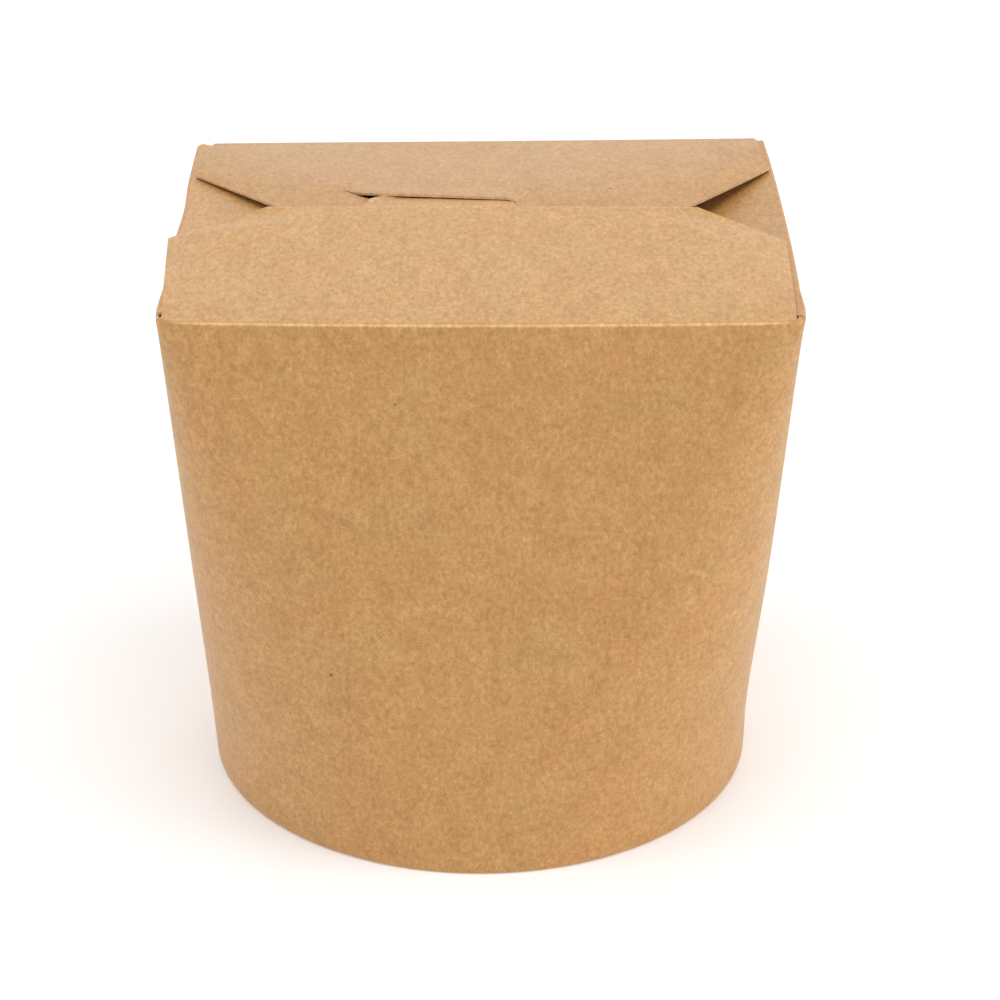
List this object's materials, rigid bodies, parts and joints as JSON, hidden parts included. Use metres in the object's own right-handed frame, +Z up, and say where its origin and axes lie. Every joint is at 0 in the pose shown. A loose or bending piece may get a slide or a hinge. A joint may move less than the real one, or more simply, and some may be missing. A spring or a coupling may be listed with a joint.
{
  "type": "noodle takeaway box",
  "caption": "Shut takeaway noodle box of plain brown board: a round foot, a wall that widens to a near rectangular rim, and folded flaps held by a tab in a slit.",
  "frame": {"origin": "middle of the foot ring, on the surface that the box stands on", "axes": "+Z up, front wall and front flap towards -Y, +X to the right as seen from the front"},
  "size_m": [0.1053, 0.0968, 0.105],
  "materials": {
    "kraft_board": "uncoated natural kraft board, matt",
    "kraft_disc": "uncoated natural kraft board, matt"
  },
  "bodies": {
    "root": {"carton": "kraft_board", "base_disc": "kraft_disc"}
  },
  "joints": []
}
